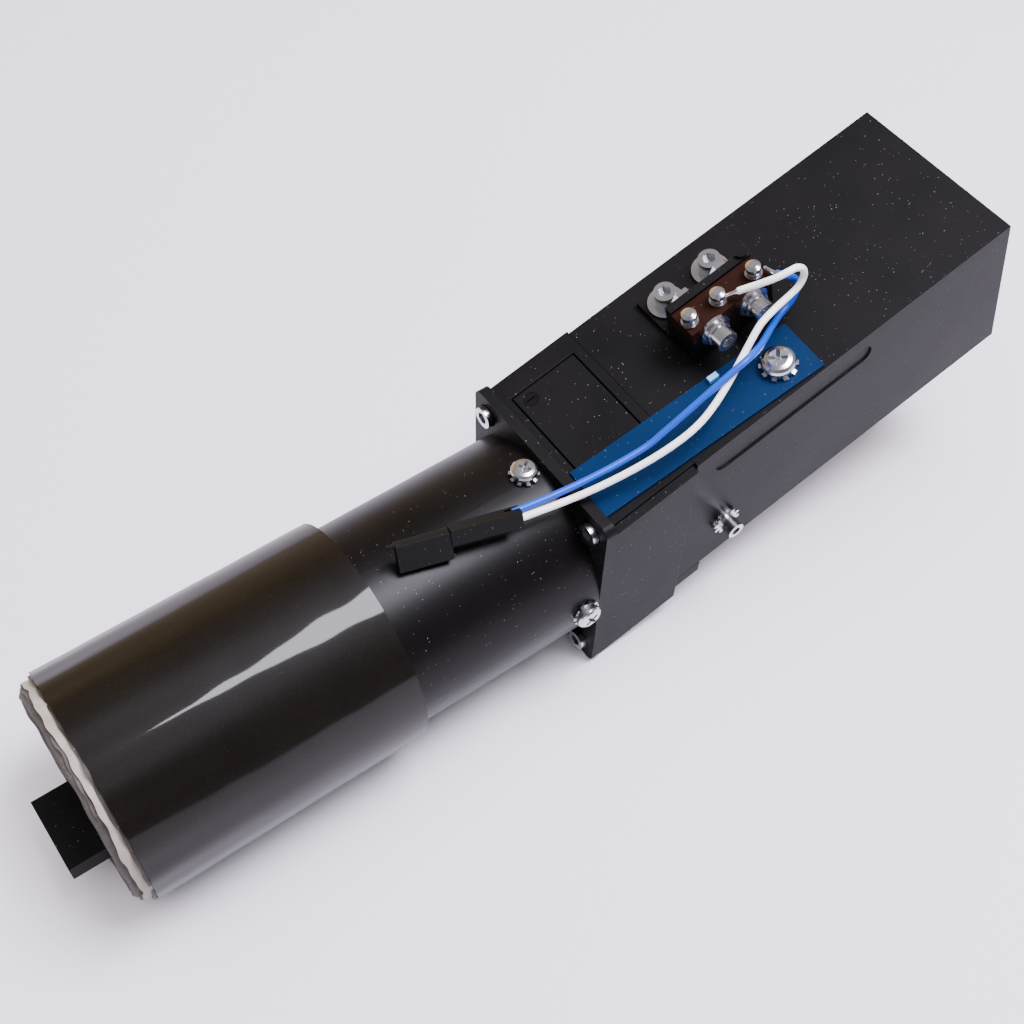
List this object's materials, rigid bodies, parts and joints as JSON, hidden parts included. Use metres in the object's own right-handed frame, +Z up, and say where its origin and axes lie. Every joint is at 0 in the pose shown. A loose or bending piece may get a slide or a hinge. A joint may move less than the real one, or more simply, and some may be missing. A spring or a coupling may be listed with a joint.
{
  "type": "roller shutter motor",
  "caption": "Small geared roller shutter motor: a black tube with a wrapped gear end and a flat drive tang, joined to a raised switch housing with a snap switch and two wires.",
  "frame": {"origin": "middle of the wrapped barrel, on the tube's axis", "axes": "+X along the tube's axis, from the drive tang toward the switch housing; +Y across, toward the side away from the wires' plate; +Z up, toward the face that carries the switch"},
  "size_m": [0.2211, 0.049, 0.0765],
  "materials": {
    "black_anodised": "satin black anodised",
    "tube_black": "satin black paint",
    "bright_steel": "bright zinc plate",
    "machined_steel": "ground steel",
    "smoked_film": "smoked translucent film",
    "speckled_core": "dark speckled layer",
    "grey_disc": "speckled grey board",
    "blue_anodised": "deep blue anodised",
    "light_blue": "plain",
    "brown_phenolic": "moulded phenolic",
    "black_plastic": "moulded",
    "white_insulation": "wire insulation",
    "blue_insulation": "wire insulation",
    "gear_brass": "machined",
    "copper": "bare copper",
    "ferrite": "sintered",
    "carbon": "sintered",
    "cream_plastic": "moulded",
    "cast_alloy": "machined"
  },
  "bodies": {
    "frame": {"rear_housing": "black_anodised", "front_collar": "black_anodised", "collar_cover": "black_anodised", "cover_screws": "tube_black", "foot_strip": "black_anodised", "flange_plate": "black_anodised", "flange_screws": "bright_steel", "motor_tube": "tube_black", "tube_screws": "bright_steel", "tube_star_washers": "bright_steel", "wrap_core": "speckled_core", "wrap_film": "smoked_film", "end_disc": "grey_disc", "motor_can": "machined_steel", "end_bell": "black_plastic", "magnets": "ferrite", "motor_bearings": "machined_steel", "brush_plate": "brown_phenolic", "brushes": "carbon", "gear_pins": "machined_steel", "output_plate": "cast_alloy", "output_bush": "gear_brass", "front_cam_plate": "cast_alloy", "rear_cam_plate": "cast_alloy", "cam_pins": "machined_steel", "blue_plate": "blue_anodised", "plate_tab": "light_blue", "plate_star_washer": "bright_steel", "plate_screw": "bright_steel", "switch_bracket": "black_anodised", "bracket_washers": "bright_steel", "bracket_lock_washers": "bright_steel", "bracket_screws": "bright_steel", "switch_case": "black_plastic", "switch_base": "brown_phenolic", "switch_terminals": "bright_steel", "switch_screws": "bright_steel", "switch_washers": "bright_steel", "switch_nuts": "bright_steel", "earth_washers": "bright_steel", "earth_screw": "bright_steel", "white_wire": "white_insulation", "blue_wire": "blue_insulation", "socket_half": "black_plastic", "plug_half": "black_plastic"},
    "rotor": {"motor_shaft": "machined_steel", "armature_core": "machined_steel", "armature_windings": "copper", "commutator": "copper", "motor_pinion": "gear_brass", "cam_pinion": "gear_brass"},
    "first_gear": {"gear_a": "gear_brass"},
    "second_gear": {"gear_b": "gear_brass"},
    "output": {"output_gear": "gear_brass", "output_shaft": "black_anodised"},
    "cam_idler": {"cam_gear": "gear_brass"},
    "cam_shaft_body": {"cam_shaft": "machined_steel", "cam_shaft_gear": "gear_brass", "cam_wheel": "cream_plastic"},
    "plunger": {"switch_plunger": "cream_plastic"}
  },
  "joints": [
    {"name": "rotor_spin", "type": "hinge", "parent": "frame", "child": "rotor", "pos_m": [0, 0, 0], "axis": [1, 0, 0], "continuous": true},
    {"name": "first_gear_spin", "type": "hinge", "parent": "frame", "child": "first_gear", "pos_m": [0, 0, 0.0104], "axis": [1, 0, 0], "continuous": true},
    {"name": "second_gear_spin", "type": "hinge", "parent": "frame", "child": "second_gear", "pos_m": [0, 0, 0], "axis": [1, 0, 0], "continuous": true},
    {"name": "output_spin", "type": "hinge", "parent": "frame", "child": "output", "pos_m": [0, 0, -0.0104], "axis": [1, 0, 0], "continuous": true},
    {"name": "cam_idler_spin", "type": "hinge", "parent": "frame", "child": "cam_idler", "pos_m": [0, 0, 0.0096], "axis": [1, 0, 0], "continuous": true},
    {"name": "cam_shaft_spin", "type": "hinge", "parent": "frame", "child": "cam_shaft_body", "pos_m": [0, 0, 0.0192], "axis": [1, 0, 0], "continuous": true},
    {"name": "plunger_press", "type": "slide", "parent": "frame", "child": "plunger", "axis": [-0.2588, 0, 0.9659], "range_m": [0, 0.001], "stiffness_N_per_m": 800, "springref_m": -0.0005}
  ],
  "couplings": [
    {"joint": "first_gear_spin", "follows": "rotor_spin", "ratio": -0.33333},
    {"joint": "second_gear_spin", "follows": "rotor_spin", "ratio": 0.11111},
    {"joint": "output_spin", "follows": "rotor_spin", "ratio": -0.037037},
    {"joint": "cam_idler_spin", "follows": "rotor_spin", "ratio": -0.33333},
    {"joint": "cam_shaft_spin", "follows": "rotor_spin", "ratio": 0.11111}
  ]
}
